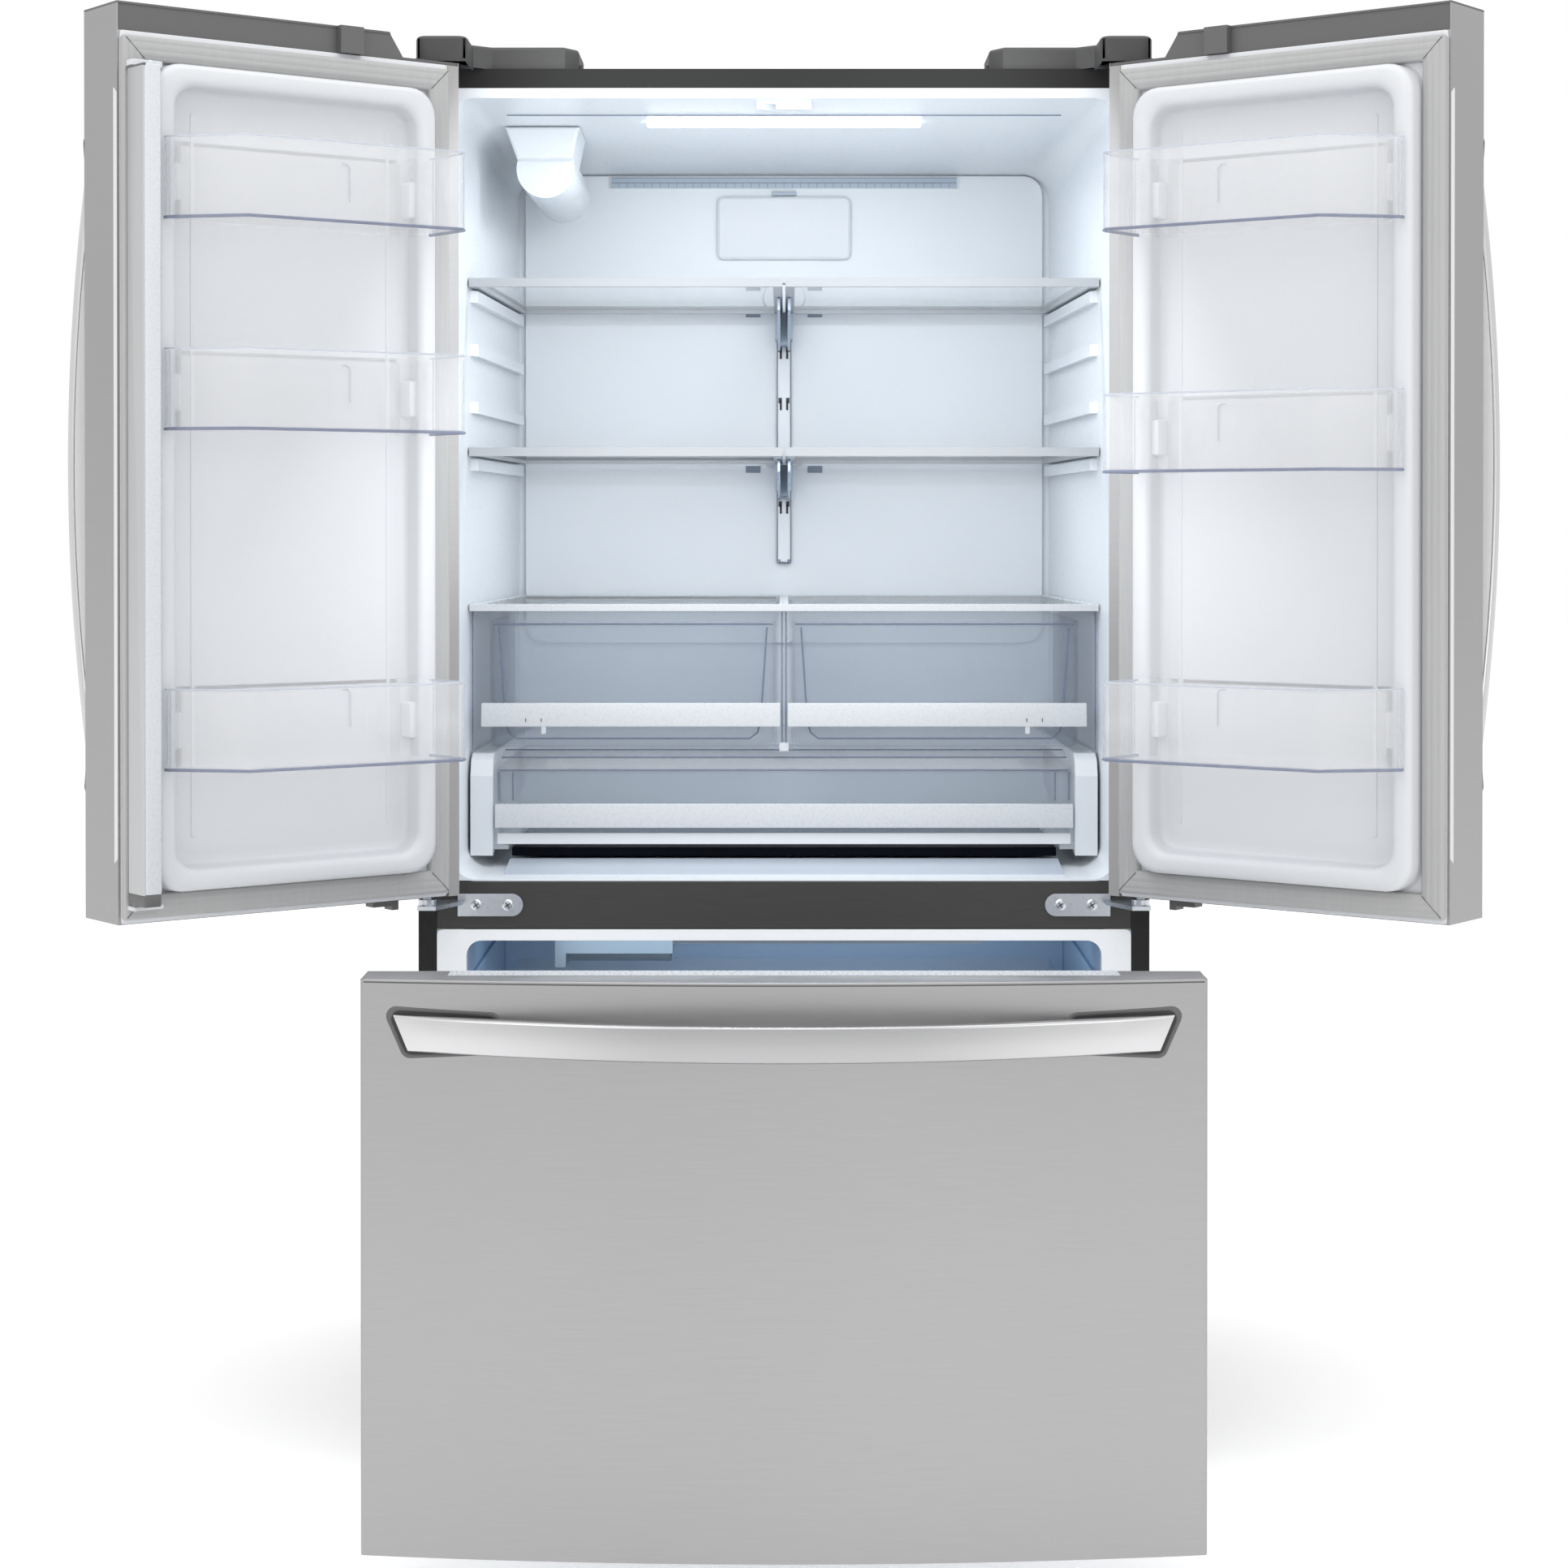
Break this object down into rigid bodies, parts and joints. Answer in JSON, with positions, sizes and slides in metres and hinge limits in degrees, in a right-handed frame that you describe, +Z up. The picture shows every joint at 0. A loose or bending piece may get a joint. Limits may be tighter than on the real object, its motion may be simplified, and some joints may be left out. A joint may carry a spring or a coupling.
{
  "type": "french door refrigerator",
  "caption": "Free-standing refrigerator with two swinging upper doors, glass shelves and crispers, and a pull-out bottom freezer drawer.",
  "frame": {"origin": "floor level, at the middle of the footprint as the part stands with its doors and freezer drawer open (65 mm behind the cabinet's front face)", "axes": "+Z up, +X to the right seen from the front, +Y from the front towards the rear"},
  "size_m": [1.6676, 1.368, 1.765],
  "materials": {
    "steel_skin": "satin",
    "case_paint": "satin",
    "handle_steel": "satin",
    "liner_white": "satin",
    "trim_white": "satin",
    "gasket_grey": "matte",
    "cap_grey": "satin",
    "clear_plastic": "gloss",
    "shelf_glass": "gloss",
    "lamp_lens": "satin",
    "foam": "matte",
    "zinc": "satin",
    "galvanised": "matte",
    "black_paint": "satin",
    "mullion_grey": "satin",
    "dark_plastic": "matte",
    "coil_metal": "satin",
    "rail_steel": "satin",
    "roller_plastic": "matte"
  },
  "bodies": {
    "cabinet": {"cabinet_shell": "case_paint", "rear_panel": "galvanised", "cabinet_insulation": "foam", "fridge_liner": "liner_white", "freezer_liner": "liner_white", "divider_trim": "case_paint", "base_pan": "galvanised", "compressor": "black_paint", "condenser": "coil_metal", "rear_grille": "dark_plastic", "kick_plate": "dark_plastic", "hinge_covers": "cap_grey", "door_hinges": "zinc", "hinge_screws": "zinc", "air_duct_cover": "liner_white", "ceiling_lamp": "lamp_lens", "filter_housing": "liner_white", "shelf_ladder": "trim_white", "shelf_frames": "trim_white", "shelf_glass": "shelf_glass", "crisper_frame": "trim_white", "pantry_guides": "trim_white", "evaporator_cover": "liner_white", "evaporator": "coil_metal", "ice_maker": "trim_white", "freezer_outer_rails": "rail_steel"},
    "left_door": {"left_door_skin": "steel_skin", "left_door_insulation": "foam", "left_door_liner": "liner_white", "left_door_gasket": "gasket_grey", "left_door_caps": "cap_grey", "left_door_handle": "handle_steel", "left_door_bins": "clear_plastic"},
    "right_door": {"right_door_skin": "steel_skin", "right_door_insulation": "foam", "right_door_liner": "liner_white", "right_door_gasket": "gasket_grey", "right_door_caps": "cap_grey", "right_door_handle": "handle_steel", "right_door_bins": "clear_plastic"},
    "mullion": {"mullion_bar": "mullion_grey"},
    "freezer_drawer": {"drawer_skin": "steel_skin", "drawer_insulation": "foam", "drawer_liner": "liner_white", "drawer_gasket": "gasket_grey", "drawer_handle": "handle_steel", "drawer_basket": "clear_plastic", "drawer_inner_rails": "rail_steel"},
    "middle_rails": {"freezer_middle_rails": "rail_steel"},
    "freezer_tray": {"freezer_tray": "clear_plastic"},
    "left_crisper": {"left_crisper": "clear_plastic"},
    "right_crisper": {"right_crisper": "clear_plastic"},
    "left_slider": {"left_humidity_slider": "trim_white"},
    "right_slider": {"right_humidity_slider": "trim_white"},
    "pantry_drawer": {"pantry_drawer": "clear_plastic"},
    "evaporator_fan": {"evaporator_fan": "dark_plastic"},
    "condenser_fan": {"condenser_fan": "dark_plastic"},
    "left_leg": {"left_levelling_leg": "zinc"},
    "right_leg": {"right_levelling_leg": "zinc"},
    "rear_rollers": {"rear_rollers": "roller_plastic"}
  },
  "joints": [
    {"name": "left_door_hinge", "type": "hinge", "parent": "cabinet", "child": "left_door", "pos_m": [-0.436, -0.123, 1.23], "axis": [0, 0, -1], "range_deg": [-142, 8]},
    {"name": "right_door_hinge", "type": "hinge", "parent": "cabinet", "child": "right_door", "pos_m": [0.436, -0.123, 1.23], "axis": [0, 0, 1], "range_deg": [-142, 8]},
    {"name": "mullion_flip", "type": "hinge", "parent": "left_door", "child": "mullion", "pos_m": [-0.7266, -0.43284, 1.215], "axis": [0, 0, 1], "range_deg": [-90, 0]},
    {"name": "drawer_slide", "type": "slide", "parent": "cabinet", "child": "freezer_drawer", "axis": [0, -1, 0], "range_m": [-0.455, 0.08]},
    {"name": "middle_rail_slide", "type": "slide", "parent": "cabinet", "child": "middle_rails", "axis": [0, -1, 0], "range_m": [-0.2275, 0.04]},
    {"name": "tray_slide", "type": "slide", "parent": "cabinet", "child": "freezer_tray", "axis": [0, -1, 0], "range_m": [0, 0.3]},
    {"name": "left_crisper_slide", "type": "slide", "parent": "cabinet", "child": "left_crisper", "axis": [0, -1, 0], "range_m": [0, 0.3]},
    {"name": "right_crisper_slide", "type": "slide", "parent": "cabinet", "child": "right_crisper", "axis": [0, -1, 0], "range_m": [0, 0.3]},
    {"name": "left_humidity_slide", "type": "slide", "parent": "left_crisper", "child": "left_slider", "axis": [-1, 0, 0], "range_m": [0, 0.019]},
    {"name": "right_humidity_slide", "type": "slide", "parent": "right_crisper", "child": "right_slider", "axis": [1, 0, 0], "range_m": [0, 0.019]},
    {"name": "pantry_slide", "type": "slide", "parent": "cabinet", "child": "pantry_drawer", "axis": [0, -1, 0], "range_m": [0, 0.3]},
    {"name": "evaporator_fan_spin", "type": "hinge", "parent": "cabinet", "child": "evaporator_fan", "pos_m": [0, 0.476, 0.56], "axis": [0, -1, 0], "continuous": true},
    {"name": "condenser_fan_spin", "type": "hinge", "parent": "cabinet", "child": "condenser_fan", "pos_m": [-0.116, 0.587, 0.132], "axis": [1, 0, 0], "continuous": true},
    {"name": "left_leg_turn", "type": "hinge", "parent": "cabinet", "child": "left_leg", "pos_m": [-0.38, -0.005, 0.02], "axis": [0, 0, 1], "continuous": true},
    {"name": "right_leg_turn", "type": "hinge", "parent": "cabinet", "child": "right_leg", "pos_m": [0.38, -0.005, 0.02], "axis": [0, 0, 1], "continuous": true},
    {"name": "rear_roller_spin", "type": "hinge", "parent": "cabinet", "child": "rear_rollers", "pos_m": [0, 0.635, 0.022], "axis": [1, 0, 0], "continuous": true}
  ],
  "couplings": [
    {"joint": "middle_rail_slide", "follows": "drawer_slide", "ratio": 0.5}
  ]
}
